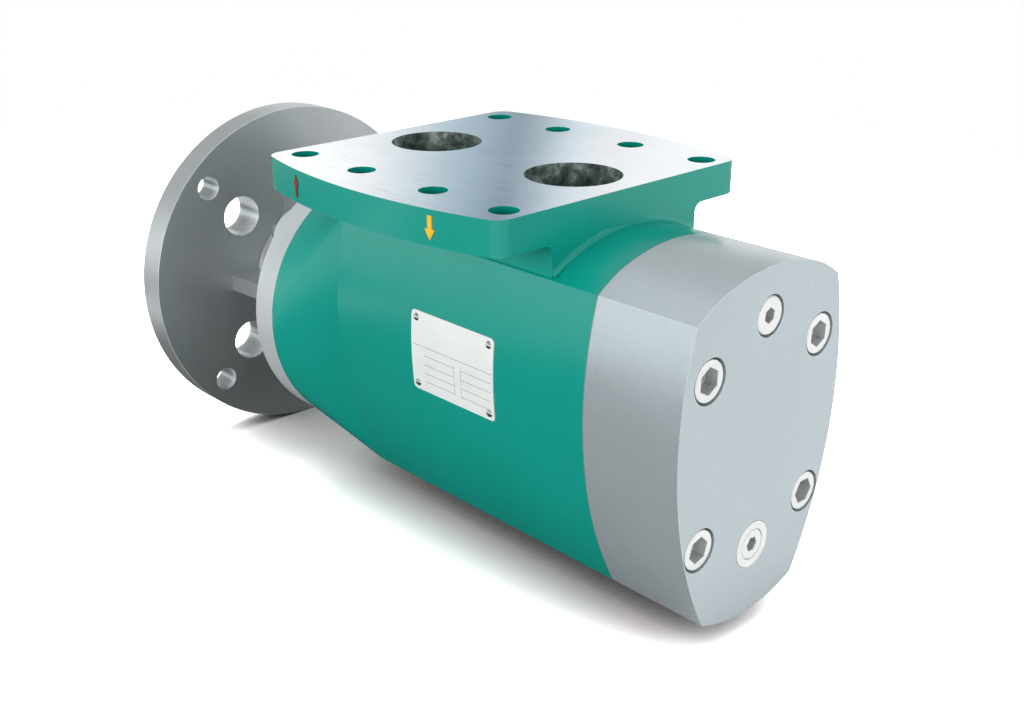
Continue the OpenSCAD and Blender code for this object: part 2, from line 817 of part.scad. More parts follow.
// The chamber's section, smaller all round by the seat gap
module offset_chamber() {
    lobe_z = chamber_reach - chamber_r;
    square([2 * (chamber_r - seat_gap), 2 * lobe_z], center = true);
    for (side = [-1, 1]) translate([0, side * lobe_z]) circle(r = chamber_r - seat_gap);
    circle(r = chamber_belly - seat_gap);
}

module throttle_bush() {
    color("darkgoldenrod") tube(throttle_x, throttle_end, throttle_d, piston_d + 2 * running_gap);
}

module idler_bush(side) {
    translate([0, 0, side * screw_root_d]) difference() {
        rod(pocket_end, bush_seat, idler_bush_d);
        rod(pocket_end - cut, bush_seat - bush_floor, journal_d + 2 * running_gap);
    }
}

module idler_bush_upper() {
    color("darkgoldenrod") idler_bush(1);
}

module idler_bush_lower() {
    color("darkgoldenrod") idler_bush(-1);
}

module race_groove() {
    translate([bearing_mid, 0, 0]) rotate([0, 90, 0]) rotate_extrude()
        translate([ball_pitch_r, 0]) circle(r = ball_d / 2 + ball_gap, $fn = 48);
}

module bearing_outer_race() {
    color("lightsteelblue") difference() {
        tube(bearing_x, bearing_end, bearing_d, 2 * (ball_pitch_r + shoulder_w));
        race_groove();
    }
}

module bearing_inner_race() {
    color("lightsteelblue") difference() {
        tube(bearing_x, bearing_end, 2 * (ball_pitch_r - shoulder_w), bearing_bore + 2 * seat_gap);
        race_groove();
    }
}

module at_balls() {
    for (i = [0 : ball_count - 1]) rotate([i * 360 / ball_count, 0, 0])
        translate([bearing_mid, 0, ball_pitch_r]) children();
}

module bearing_balls() {
    color("white") at_balls() sphere(d = ball_d, $fn = 48);
}

module bearing_cage() {
    color("peru") difference() {
        tube(bearing_mid - cage_w / 2, bearing_mid + cage_w / 2,
            2 * ball_pitch_r + shoulder_w, 2 * ball_pitch_r - shoulder_w);
        at_balls() sphere(d = ball_d + ball_gap, $fn = 48);
    }
}

// A ring in the bracket's groove, open at the bottom
module bearing_retaining_ring() {
    color("dimgray") difference() {
        tube(bearing_x - retaining_t, bearing_x, bearing_d + 2 * (retaining_depth - snap_gap),
            bearing_d - 2 * retaining_reach);
        translate([0, -retaining_slot / 2, -bearing_d]) cube([bearing_d, retaining_slot, bearing_d]);
    }
}

module shaft_circlip() {
    color("dimgray") difference() {
        tube(bearing_x - circlip_t, bearing_x, bearing_bore + 2 * circlip_reach,
            bearing_bore - 2 * (circlip_depth - snap_gap));
        translate([0, -circlip_slot / 2, -bearing_bore]) cube([bearing_d, circlip_slot, bearing_bore]);
    }
}

module seal_seat() {
    color("lightgray") difference() {
        tube(seat_x, ring_x, seat_d, seal_shaft_d + 2 * seal_seat_gap);
        translate([(seat_x + ring_x) / 2, 0, 0])
            tube(-seat_ring_wire / 2, seat_ring_wire / 2, seat_d + cut, seat_d - seat_squeeze);
    }
}

module seal_seat_o_ring() {
    color("black") o_ring((seat_x + ring_x) / 2, (seat_d + seat_ring_wire - seat_squeeze) / 2,
        seat_ring_wire - seat_squeeze);
}

// The screw thread of a rotor, its profile twisted along the shaft
module screw_thread(hand) {
    translate([thread_x, 0, 0]) rotate([90, 0, 90]) rotate(90)
        linear_extrude(thread_l, twist = hand * twist, slices = slices, segments = 1)
            offset(delta = -profile_gap) children();
}

module power_rotor() {
    chamfer = 1.5;
    neck_r = pitch_r - 1;
    groove_r = bearing_bore / 2 - circlip_depth;
    color("steelblue") {
        difference() {
            turned([[0, -shaft_l], [shaft_d / 2 - chamfer, -shaft_l], [shaft_d / 2, chamfer - shaft_l],
                [shaft_d / 2, shaft_step_x], [bearing_bore / 2, shaft_step_x],
                [bearing_bore / 2, bearing_x - circlip_t], [groove_r, bearing_x - circlip_t],
                [groove_r, bearing_x], [bearing_bore / 2, bearing_x], [bearing_bore / 2, bearing_end],
                [seal_shaft_d / 2, bearing_end], [seal_shaft_d / 2, piston_x], [piston_d / 2, piston_x],
                [piston_d / 2, chamber_x], [neck_r, chamber_x], [neck_r, thread_x], [0, thread_x]]);
            translate([key_x, -key_w / 2, key_z]) cube([key_l, key_w, key_h]);
            rod(-shaft_l - cut, centre_hole_l - shaft_l, centre_hole_d);
        }
        screw_thread(-1) polygon(power_profile());
        rod(thread_end, thread_end + rotor_neck_l, 2 * neck_r);
    }
}

module shaft_key() {
    color("gray") translate([key_x, -key_w / 2, key_z]) cube([key_l, key_w, key_h]);
}

module seal_rotating_ring() {
    color("dimgray") tube(ring_x, spring_x, ring_d, seal_shaft_d + 2 * running_gap);
}

// Rings of points along a helix make the wire of the spring
spring_r = (seal_shaft_d + ring_d) / 4;
spring_sides = 6;
spring_coil_steps = 14;
spring_steps = spring_coils * spring_coil_steps;

function helix_point(i) = let (t = i / spring_steps)
    [spring_x + spring_wire / 2 + (spring_l - spring_wire) * t,
        spring_r * cos(360 * spring_coils * t), spring_r * sin(360 * spring_coils * t)];

function wire_ring(i) = let (c = helix_point(i), out = [0, c.y, c.z] / spring_r)
    [for (j = [0 : spring_sides - 1]) let (a = 360 * j / spring_sides)
        c + spring_wire / 2 * (cos(a) * out + sin(a) * [1, 0, 0])];

module seal_spring() {
    points = [for (i = [0 : spring_steps]) each wire_ring(i)];
    n = spring_sides;
    walls = [for (i = [0 : spring_steps - 1], j = [0 : n - 1])
        [i * n + j, i * n + (j + 1) % n, (i + 1) * n + (j + 1) % n, (i + 1) * n + j]];
    first = [for (j = [n - 1 : -1 : 0]) j];
    last = [for (j = [0 : n - 1]) spring_steps * n + j];
    color("silver") polyhedron(points, concat(walls, [first, last]), convexity = 6);
}

module seal_drive_collar() {
    color("gray") difference() {
        tube(drive_collar_x, drive_collar_x + drive_collar_t, ring_d, seal_shaft_d + 2 * seat_gap);
        for (turn = [0, 120, 240]) rotate([turn, 0, 0])
            translate([drive_collar_x + drive_collar_t / 2, 0, 0]) cylinder(d = set_screw_d, h = ring_d);
    }
}

module idler(side) {
    shank_r = pitch_r * 0.62;
    journal_x = pocket_end - journal_end_gap;
    translate([0, 0, side * screw_root_d]) {
        screw_thread(1) polygon(idler_profile());
        turned([[0, thread_end], [shank_r, thread_end], [shank_r, journal_x], [journal_d / 2, journal_x],
            [journal_d / 2, journal_x + journal_l], [0, journal_x + journal_l]]);
    }
}

module idler_upper() {
    color("cadetblue") idler(1);
}

module idler_lower() {
    color("cadetblue") idler(-1);
}

mounting_flange();
drive_bracket();
bracket_disc();
casing();
cover_skirt();
end_cover();
bracket_o_ring();
cover_gasket();
bracket_screws();
cover_screws();
vent_plug();
vent_plug_seal();
drain_bush();
drain_plug();
nameplate();
nameplate_rivets();
flow_arrow_out();
flow_arrow_in();
rotor_liner();
throttle_bush();
idler_bush_upper();
idler_bush_lower();
bearing_outer_race();
bearing_retaining_ring();
seal_seat();
seal_seat_o_ring();
power_rotor();
shaft_key();
bearing_inner_race();
shaft_circlip();
seal_rotating_ring();
seal_spring();
seal_drive_collar();
idler_upper();
idler_lower();
bearing_balls();
bearing_cage();
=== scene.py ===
import math

import bmesh
import bpy
from mathutils import Matrix, Vector


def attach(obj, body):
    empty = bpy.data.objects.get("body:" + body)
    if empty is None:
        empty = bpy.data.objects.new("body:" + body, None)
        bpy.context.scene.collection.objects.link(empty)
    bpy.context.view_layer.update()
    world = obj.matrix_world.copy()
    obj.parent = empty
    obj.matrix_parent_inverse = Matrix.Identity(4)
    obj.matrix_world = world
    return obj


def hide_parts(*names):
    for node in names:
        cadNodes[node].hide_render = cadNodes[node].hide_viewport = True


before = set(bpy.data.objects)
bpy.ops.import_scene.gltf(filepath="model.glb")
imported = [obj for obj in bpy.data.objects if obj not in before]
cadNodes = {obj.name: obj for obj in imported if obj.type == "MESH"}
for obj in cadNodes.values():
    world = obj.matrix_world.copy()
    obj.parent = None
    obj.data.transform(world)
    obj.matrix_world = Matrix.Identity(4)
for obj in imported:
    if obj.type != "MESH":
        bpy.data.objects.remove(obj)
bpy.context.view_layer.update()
print("frame loaded")

mm = 0.001


# Camera, matched to the photograph

camera = {
    "location": (0.8246, -0.5355, 0.3090),
    "rotation": (67.548, 0.0, 46.259),
    "lens": 43.96,
}

cameraData = bpy.data.cameras.new("camera")
cameraData.lens = camera["lens"]
cameraData.sensor_width = 36
cameraObject = bpy.data.objects.new("camera", cameraData)
cameraObject.location = camera["location"]
cameraObject.rotation_euler = [math.radians(a) for a in camera["rotation"]]
bpy.context.collection.objects.link(cameraObject)
bpy.context.scene.camera = cameraObject
bpy.context.scene.view_settings.view_transform = "Standard"


# Node helpers

def srgb(red, green, blue):
    # a colour as seen on screen, 0 to 255, turned into shader values
    return tuple(((c / 255 + 0.055) / 1.055) ** 2.4 for c in (red, green, blue)) + (1.0,)


def addNode(tree, kind, inputs=None, **settings):
    node = tree.nodes.new("ShaderNode" + kind)
    for key, value in settings.items():
        setattr(node, key, value)
    for key, value in (inputs or {}).items():
        if isinstance(value, bpy.types.NodeSocket):
            tree.links.new(value, node.inputs[key])
        else:
            node.inputs[key].default_value = value
    return node


def newMaterial(name, **sockets):
    # sockets are fixed values set straight on the shader
    material = bpy.data.materials.new(name)
    material.use_nodes = True
    tree = material.node_tree
    shader = tree.nodes["Principled BSDF"]
    for key, value in sockets.items():
        shader.inputs[key.replace("_", " ")].default_value = value
    place = addNode(tree, "TexCoord").outputs["Object"]
    return material, tree, shader, place


def noise(tree, place, scale, detail=3.0, roughness=0.55, distortion=0.0, stretch=(1, 1, 1)):
    if stretch != (1, 1, 1):
        place = addNode(tree, "Mapping", {"Vector": place, "Scale": stretch}).outputs[0]
    return addNode(tree, "TexNoise", {"Vector": place, "Scale": scale, "Detail": detail,
                                      "Roughness": roughness, "Distortion": distortion}).outputs["Fac"]


def ramp(tree, value, *stops):
    node = addNode(tree, "ValToRGB", {"Fac": value})
    points = node.color_ramp.elements
    while len(points) < len(stops):
        points.new(0.5)
    for point, (position, colour) in zip(points, stops):
        point.position = position
        point.color = colour if isinstance(colour, tuple) else (colour, colour, colour, 1)
    return node.outputs["Color"]


def mixColour(tree, factor, first, second, blend="MIX"):
    node = addNode(tree, "Mix", data_type="RGBA", blend_type=blend)
    for socket, value in ((0, factor), (6, first), (7, second)):
        if isinstance(value, bpy.types.NodeSocket):
            tree.links.new(value, node.inputs[socket])
        else:
            node.inputs[socket].default_value = value
    return node.outputs[2]


def calc(tree, operation, first, second=0.0, third=0.0):
    node = addNode(tree, "Math", operation=operation)
    for socket, value in enumerate((first, second, third)):
        if isinstance(value, bpy.types.NodeSocket):
            tree.links.new(value, node.inputs[socket])
        else:
            node.inputs[socket].default_value = value
    return node.outputs[0]


def bumps(tree, shader, *layers):
    # each layer is a height, its strength and its depth in metres
    normal = None
    for height, strength, depth in layers:
        inputs = {"Height": height, "Strength": strength, "Distance": depth}
        if normal:
            inputs["Normal"] = normal
        normal = addNode(tree, "Bump", inputs).outputs[0]
    tree.links.new(normal, shader.inputs["Normal"])


# Finishes

def glossPaint():
    material, tree, shader, place = newMaterial("glossPaint", Specular_IOR_Level=0.5)
    cloud = noise(tree, place, 9, 4)
    grain = noise(tree, place, 150, 1)
    tone = ramp(tree, cloud, (0.1, srgb(0, 141, 126)), (0.9, srgb(0, 154, 139)))
    tree.links.new(mixColour(tree, calc(tree, "MULTIPLY", grain, 0.10), tone, srgb(10, 170, 152)),
                   shader.inputs["Base Color"])
    tree.links.new(ramp(tree, noise(tree, place, 20, 1), (0.0, 0.18), (1.0, 0.32)), shader.inputs["Roughness"])
    peel = noise(tree, place, 170, 1, 0.5)
    swell = noise(tree, place, 45, 1)
    bumps(tree, shader, (swell, 0.03, 0.0006), (peel, 0.06, 0.0001))
    return material


def satinPaint(name, dark, light, metal, rough, grainDepth):
    material, tree, shader, place = newMaterial(name, Metallic=metal, Specular_IOR_Level=0.4)
    cloud = noise(tree, place, 14, 4)
    speck = noise(tree, place, 220, 1)
    tone = ramp(tree, cloud, (0.1, dark), (0.9, light))
    fleck = ramp(tree, speck, (0.0, (0.95, 0.95, 0.95, 1)), (1.0, (1.0, 1.0, 1.0, 1)))
    tree.links.new(mixColour(tree, 1.0, tone, fleck, "MULTIPLY"), shader.inputs["Base Color"])
    tree.links.new(ramp(tree, noise(tree, place, 30, 1), (0.0, rough - 0.07), (1.0, rough + 0.07)),
                   shader.inputs["Roughness"])
    cast = noise(tree, place, 180, 1)
    swell = noise(tree, place, 40, 1)
    bumps(tree, shader, (swell, 0.04, 0.0006), (cast, 0.10, grainDepth))
    return material


def machinedFace():
    material, tree, shader, place = newMaterial("machinedFace", Metallic=1.0)
    streak = noise(tree, place, 70, 5, 0.65, 0.1, (0.12, 3.2, 1))
    cloud = noise(tree, place, 16, 4)
    scratch = noise(tree, place, 140, 2, 0.5, 0.4, (0.25, 2.0, 1))
    tone = ramp(tree, cloud, (0.3, srgb(214, 220, 224)), (0.7, srgb(230, 234, 237)))
    line = ramp(tree, scratch, (0.60, (1, 1, 1, 1)), (0.72, (0.86, 0.87, 0.88, 1)))
    tree.links.new(mixColour(tree, 1.0, tone, line, "MULTIPLY"), shader.inputs["Base Color"])
    tree.links.new(ramp(tree, streak, (0.3, 0.06), (0.7, 0.13)), shader.inputs["Roughness"])
    bumps(tree, shader, (streak, 0.04, 0.0002), (scratch, 0.04, 0.0001))
    return material


def rawCasting():
    material, tree, shader, place = newMaterial("rawCasting", Metallic=0.35)
    blotch = noise(tree, place, 95, 6, 0.7, 0.3)
    speck = noise(tree, place, 700, 3, 0.7)
    tone = ramp(tree, blotch, (0.36, srgb(62, 76, 72)), (0.5, srgb(118, 136, 131)), (0.66, srgb(206, 214, 210)))
    fleck = ramp(tree, speck, (0.4, (0.7, 0.7, 0.7, 1)), (0.7, (1.1, 1.1, 1.1, 1)))
    tree.links.new(mixColour(tree, 1.0, tone, fleck, "MULTIPLY"), shader.inputs["Base Color"])
    tree.links.new(ramp(tree, blotch, (0.3, 0.62), (0.7, 0.42)), shader.inputs["Roughness"])
    bumps(tree, shader, (blotch, 0.5, 0.0008), (speck, 0.5, 0.0002))
    return material


def plainMetal(name, dark, light, rough, metal=1.0, lines=(1, 1, 1), depth=0.00004):
    material, tree, shader, place = newMaterial(name, Metallic=metal)
    cloud = noise(tree, place, 40, 4)
    fine = noise(tree, place, 500, 3, 0.6, 0.0, lines)
    tree.links.new(ramp(tree, cloud, (0.3, dark), (0.7, light)), shader.inputs["Base Color"])
    tree.links.new(ramp(tree, fine, (0.3, rough * 0.75), (0.7, rough * 1.25)), shader.inputs["Roughness"])
    bumps(tree, shader, (fine, 0.25, depth))
    return material


def softSolid(name, dark, light, rough, scale=260):
    material, tree, shader, place = newMaterial(name)
    fine = noise(tree, place, scale, 4, 0.6)
    tree.links.new(ramp(tree, fine, (0.3, dark), (0.7, light)), shader.inputs["Base Color"])
    tree.links.new(ramp(tree, fine, (0.3, rough), (0.7, rough + 0.12)), shader.inputs["Roughness"])
    bumps(tree, shader, (fine, 0.3, 0.0002))
    return material


finishes = {
    "casingPaint": glossPaint(),
    "bracketPaint": satinPaint("bracketPaint", srgb(196, 202, 204), srgb(206, 211, 213), 0.75, 0.38, 0.0001),
    "coverPaint": satinPaint("coverPaint", srgb(188, 200, 205), srgb(197, 208, 212), 0.5, 0.30, 0.0001),
    # a copy of the bracket's paint with less metal, so that the disc's rim renders lighter than the rest of the
    # casting: painted light
    "rimPaintLitCopy": satinPaint("rimPaintLitCopy", srgb(192, 199, 201), srgb(200, 206, 208), 0.2, 0.38, 0.0001),
    # a lighter, glossier paint on the rounded edges and on the flange's hole walls: a painted highlight
    "paintedHighlight": plainMetal("paintedHighlight", srgb(222, 230, 231), srgb(234, 240, 240), 0.24, 0.3),
    "machinedFace": machinedFace(),
    "rawCasting": rawCasting(),
    "zincPlate": plainMetal("zincPlate", srgb(232, 236, 235), srgb(246, 248, 247), 0.22, 0.4),
    "socketSteel": plainMetal("socketSteel", srgb(196, 200, 199), srgb(212, 216, 215), 0.34, 0.5),
    "plateAluminium": plainMetal("plateAluminium", srgb(236, 240, 239), srgb(244, 247, 246), 0.36, 0.1, (1, 8, 8)),
    "rivetAluminium": plainMetal("rivetAluminium", srgb(205, 209, 210), srgb(224, 227, 228), 0.16),
    "groundSteel": plainMetal("groundSteel", srgb(186, 190, 194), srgb(206, 210, 213), 0.20, 1.0, (6, 1, 1)),
    "springSteel": plainMetal("springSteel", srgb(92, 94, 98), srgb(118, 120, 124), 0.38),
    "linerIron": plainMetal("linerIron", srgb(132, 134, 136), srgb(158, 160, 160), 0.42, 0.9, (1, 1, 1), 0.0001),
    "bearingBronze": plainMetal("bearingBronze", srgb(166, 124, 66), srgb(190, 146, 84), 0.34),
    "cageBrass": plainMetal("cageBrass", srgb(196, 158, 88), srgb(214, 178, 108), 0.28),
    "rubber": softSolid("rubber", srgb(22, 22, 23), srgb(34, 34, 35), 0.55),
    "sealCarbon": softSolid("sealCarbon", srgb(46, 47, 50), srgb(62, 63, 66), 0.30, 500),
    "fibre": softSolid("fibre", srgb(112, 126, 124), srgb(136, 148, 146), 0.75, 420),
    "arrowRed": softSolid("arrowRed", srgb(112, 26, 22), srgb(142, 38, 30), 0.32, 600),
    "arrowYellow": softSolid("arrowYellow", srgb(236, 178, 30), srgb(248, 196, 48), 0.32, 600),
    "printInk": softSolid("printInk", srgb(120, 124, 124), srgb(146, 150, 150), 0.5, 900),
}
print("finishes made")

nodeFinish = {
    "bracket_o_ring": "rubber", "seal_seat_o_ring": "rubber", "cover_gasket": "fibre",
    "vent_plug_seal": "bearingBronze", "drain_bush": "zincPlate", "nameplate_rivets": "rivetAluminium",
    "flow_arrow_out": "arrowRed", "flow_arrow_in": "arrowYellow", "rotor_liner": "linerIron",
    "throttle_bush": "bearingBronze", "idler_bush_upper": "bearingBronze", "idler_bush_lower": "bearingBronze",
    "bearing_outer_race": "groundSteel", "bearing_inner_race": "groundSteel", "bearing_balls": "groundSteel",
    "bearing_cage": "cageBrass", "bearing_retaining_ring": "springSteel", "shaft_circlip": "springSteel",
    "shaft_key": "springSteel", "seal_seat": "sealCarbon", "seal_rotating_ring": "sealCarbon",
    "seal_spring": "springSteel", "seal_drive_collar": "groundSteel", "power_rotor": "groundSteel",
    "idler_upper": "groundSteel", "idler_lower": "groundSteel",
}
for nodeName, finish in nodeFinish.items():
    mesh = cadNodes[nodeName].data
    mesh.materials.clear()
    mesh.materials.append(finishes[finish])


# Piece helpers

def finishPiece(bm, name, finishList, replaces, body="pump_body", sharp=30):
    mesh = bpy.data.meshes.new(name)
    bm.to_mesh(mesh)
    bm.free()
    stale = mesh.attributes.get("custom_normal")
    if stale:
        mesh.attributes.remove(stale)
    mesh.shade_smooth()
    mesh.set_sharp_from_angle(angle=math.radians(sharp))
    for finish in finishList:
        mesh.materials.append(finishes[finish])
    piece = bpy.data.objects.new(name, mesh)
    bpy.context.collection.objects.link(piece)
    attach(piece, body)
    if replaces:
        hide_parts(*replaces)
    return piece


def weldedCopy(nodeName, flat=0.4):
    # a CAD node's triangles, joined up and cleared of flat edges
    bm = bmesh.new()
    bm.from_mesh(cadNodes[nodeName].data)
    bmesh.ops.remove_doubles(bm, verts=bm.verts, dist=1e-6)
    bmesh.ops.dissolve_limit(bm, angle_limit=math.radians(flat), verts=bm.verts, edges=bm.edges)
    for face in bm.faces:
        face.material_index = 0
    return bm


def markRounded(bm, angle=35, skip=None):
    # the sharp edges get rounded, apart from those that a neighbour covers
    weights = bm.edges.layers.float.new("bevel_weight_edge")
    for edge in bm.edges:
        if edge.is_manifold and edge.calc_face_angle(0) > math.radians(angle) and not (skip and skip(edge)):
            edge[weights] = 1.0


def roundEdges(piece, width, segments=2, finish=-1):
    bevel = piece.modifiers.new("roundedEdges", "BEVEL")
    bevel.limit_method = "WEIGHT"
    bevel.width = width
    bevel.segments = segments
    bevel.material = finish
    bevel.harden_normals = True
    bevel.miter_outer = "MITER_ARC"


# Casing: painted casting with a machined top face and rough ports

casing = {
    "topZ": 126.7 * mm, "portX": (192.5 * mm, 318.3 * mm), "portR": 30 * mm, "edge": 0.6 * mm,
    "chamberR": 33 * mm, "lobeZ": 46 * mm, "chamberTop": 81 * mm,
}


def isPortWall(face, middle):
    offPort = min(math.hypot(middle.x - x, middle.y) for x in casing["portX"])
    return abs(face.normal.z) < 0.05 and offPort < casing["portR"] + 0.5 * mm


def isInChamber(middle):
    offLobe = math.hypot(middle.y, max(abs(middle.z) - casing["lobeZ"], 0))
    return offLobe < casing["chamberR"] and middle.z < casing["chamberTop"]


bm = weldedCopy("casing")
for face in bm.faces:
    middle = face.calc_center_median()
    if face.normal.z > 0.99 and abs(middle.z - casing["topZ"]) < 0.1 * mm:
        face.material_index = 1
    elif isPortWall(face, middle) or isInChamber(middle):
        face.material_index = 2
markRounded(bm)
casingPiece = finishPiece(bm, "casing_body", ["casingPaint", "machinedFace", "rawCasting"],
                          ["casing"])
roundEdges(casingPiece, casing["edge"])
print("casing made")


# Drive bracket and end cover

bracket = {
    "edge": 0.8 * mm, "joints": (22 * mm, 104 * mm), "neckReach": 66 * mm, "holeReach": (30 * mm, 112 * mm),
    "pieces": [("mounting_flange", "bracket_flange", "bracketPaint"),
               ("drive_bracket", "bracket_neck", "bracketPaint"),
               # the disc's rim takes the lit copy of the bracket paint
               ("bracket_disc", "bracket_rim", "rimPaintLitCopy")],
}


def atJoint(edge):
    # where the neck meets the flange and the disc, the casting runs on without an edge
    inNeck = all(v.co.yz.length < bracket["neckReach"] for v in edge.verts)
    return inNeck and any(all(abs(v.co.x - x) < 0.05 * mm for v in edge.verts) for x in bracket["joints"])


def isHoleWall(face):
    middle = face.calc_center_median()
    inner, outer = bracket["holeReach"]
    return abs(face.normal.x) < 0.05 and middle.x > 0 and inner < middle.yz.length < outer


for nodeName, pieceName, paint in bracket["pieces"]:
    bm = weldedCopy(nodeName)
    for face in bm.faces:
        # the flange's hole walls take the painted highlight, so they render lighter
        if nodeName == "mounting_flange" and isHoleWall(face):
            face.material_index = 1
    markRounded(bm, skip=atJoint)
    piece = finishPiece(bm, pieceName, [paint, "paintedHighlight"], [nodeName])
    # the rounded edges take the painted highlight
    roundEdges(piece, bracket["edge"], finish=1)

cover = {"edge": 0.7 * mm, "joint": 422.5 * mm}


def weldedCover():
    # the skirt and the end wall joined into one casting, and the pocket's floor between them closed again
    bm = weldedCopy("end_cover")
    skirt = weldedCopy("cover_skirt")
    part = bpy.data.meshes.new("part")
    skirt.to_mesh(part)
    skirt.free()
    bm.from_mesh(part)
    bpy.data.meshes.remove(part)
    meeting = [face for face in bm.faces if abs(face.normal.x) > 0.99 and
               abs(face.calc_center_median().x - cover["joint"]) < 0.01 * mm]
    bmesh.ops.delete(bm, geom=meeting, context="FACES")
    bmesh.ops.remove_doubles(bm, verts=bm.verts, dist=0.02 * mm)
    rims = [edge for edge in bm.edges if edge.is_boundary]
    bmesh.ops.triangle_fill(bm, use_beauty=True, use_dissolve=True, edges=rims, normal=(-1, 0, 0))
    bmesh.ops.dissolve_limit(bm, angle_limit=math.radians(0.4), verts=bm.verts, edges=bm.edges)
    bmesh.ops.recalc_face_normals(bm, faces=bm.faces)
    return bm


bm = weldedCover()
markRounded(bm)
coverPiece = finishPiece(bm, "cover_casting", ["coverPaint", "paintedHighlight"],
                         ["end_cover", "cover_skirt"])
# the cover's rounded edges take the painted highlight
roundEdges(coverPiece, cover["edge"], finish=1)
print("bracket and cover made")


# Screws and plugs with hex sockets, each turned as it was tightened

socket = {"points": 48, "chamfer": 0.35 * mm, "tipR": 0.35, "tipDepth": 0.3}
lower = 0.02 * mm  # two loops in one plane bridge with a twist, so one lies a little lower


def addRing(bm, radius, x, corners=0):
    # a loop of points across the X axis, round or drawn in to straight sides
    place = Matrix.Translation((x, 0, 0)) @ Matrix.Rotation(math.pi / 2, 4, "Y")
    made = bmesh.ops.create_circle(bm, segments=socket["points"], radius=radius, matrix=place)
    if corners:
        half = math.pi / corners
        for v in made["verts"]:
            off = math.atan2(v.co.z, v.co.y) % (2 * half) - half
            v.co.yz = v.co.yz * (math.cos(half) / math.cos(off))
    return list({e for v in made["verts"] for e in v.link_edges})


def socketHead(target, place, turn, hexAcross, hexDepth, profile):
    # profile runs from the rim of the face to the tip, as [radius, x] pairs; x is 0 at the face
    bm = bmesh.new()
    corner = hexAcross / 2 / math.cos(math.pi / 6)
    tip = -hexDepth - corner * socket["tipDepth"]
    rings = [addRing(bm, corner * socket["tipR"], tip, 6), addRing(bm, corner, -hexDepth, 6),
             addRing(bm, corner, -socket["chamfer"], 6), addRing(bm, corner + socket["chamfer"], -lower, 6)]
    rings += [addRing(bm, radius, x) for radius, x in profile]
    for first, second in zip(rings, rings[1:]):
        bmesh.ops.bridge_loops(bm, edges=first + second)
    bmesh.ops.edgeloop_fill(bm, edges=rings[0])
    bmesh.ops.edgeloop_fill(bm, edges=rings[-1])
    bmesh.ops.recalc_face_normals(bm, faces=bm.faces)
    for face in bm.faces:
        middle = face.calc_center_median()
        if middle.yz.length < corner and -hexDepth - corner < middle.x < -socket["chamfer"] - 0.01 * mm:
            face.material_index = 1
    bmesh.ops.transform(bm, verts=bm.verts,
                        matrix=Matrix.Translation(place) @ Matrix.Rotation(math.radians(turn), 4, "X"))
    part = bpy.data.meshes.new("part")
    bm.to_mesh(part)
    bm.free()
    target.from_mesh(part)
    bpy.data.meshes.remove(part)


screw = {
    "headR": 12 * mm, "headH": 16 * mm, "shankR": 8 * mm, "chamfer": 1.0 * mm, "hex": 14 * mm, "hexDepth": 8 * mm,
}


def capScrewProfile(length):
    r, s, c = screw["headR"], screw["shankR"], screw["chamfer"]
    tip = -screw["headH"] - length
    return [(r - c, 0), (r - 0.25 * c, -0.3 * c), (r, -c), (r, -screw["headH"]), (s, -screw["headH"] - lower),
            (s, tip + c), (s - c, tip)]


coverScrews = {
    "face": 465.5 * mm, "length": 80 * mm,
    "places": [(-50, 52, 90), (50, 52, 86), (-50, -49, 74), (50, -49, 118)],
}
bm = bmesh.new()
for y, z, turn in coverScrews["places"]:
    socketHead(bm, (coverScrews["face"], y * mm, z * mm), turn, screw["hex"], screw["hexDepth"],
               capScrewProfile(coverScrews["length"]))
finishPiece(bm, "cover_cap_screws", ["zincPlate", "socketSteel"], ["cover_screws"])

bracketScrews = {
    "face": 80 * mm, "length": 50 * mm,
    "places": [(-50, 50, 12), (50, 50, 41), (-50, -50, 25), (50, -50, 52)],
}
bm = bmesh.new()
for y, z, turn in bracketScrews["places"]:
    socketHead(bm, (-bracketScrews["face"], y * mm, z * mm), turn, screw["hex"], screw["hexDepth"],
               capScrewProfile(bracketScrews["length"]))
bmesh.ops.rotate(bm, verts=bm.verts, cent=(0, 0, 0), matrix=Matrix.Rotation(math.pi, 3, "Z"))
finishPiece(bm, "bracket_cap_screws", ["groundSteel", "socketSteel"], ["bracket_screws"])

plugs = {
    "ventFace": 465.5 * mm, "ventZ": 75.7 * mm, "ventR": 11 * mm, "ventThreadR": 8.3 * mm,
    "drainFace": 466 * mm, "drainZ": -65.2 * mm, "drainR": 9.5 * mm, "drainThreadR": 6.6 * mm,
    "ventTurn": 84, "drainTurn": 112,
    "collar": 4 * mm, "thread": 14 * mm, "chamfer": 0.6 * mm, "hex": 8 * mm, "hexDepth": 6 * mm,
}


def plugProfile(collarR, threadR):
    c = plugs["chamfer"]
    tip = -plugs["collar"] - plugs["thread"]
    return [(collarR - c, 0), (collarR, -c), (collarR, -plugs["collar"]),
            (threadR, -plugs["collar"] - lower), (threadR, tip)]


bm = bmesh.new()
socketHead(bm, (plugs["ventFace"], 0, plugs["ventZ"]), plugs["ventTurn"], plugs["hex"], plugs["hexDepth"],
           plugProfile(plugs["ventR"], plugs["ventThreadR"]))
finishPiece(bm, "vent_plug_body", ["zincPlate", "socketSteel"], ["vent_plug"])
bm = bmesh.new()
socketHead(bm, (plugs["drainFace"], 0, plugs["drainZ"]), plugs["drainTurn"], plugs["hex"], plugs["hexDepth"],
           plugProfile(plugs["drainR"], plugs["drainThreadR"]))
finishPiece(bm, "drain_plug_body", ["zincPlate", "socketSteel"], ["drain_plug"])
print("screws and plugs made")


# Nameplate with ruled lines, each cut into the sheet's face as its own strip

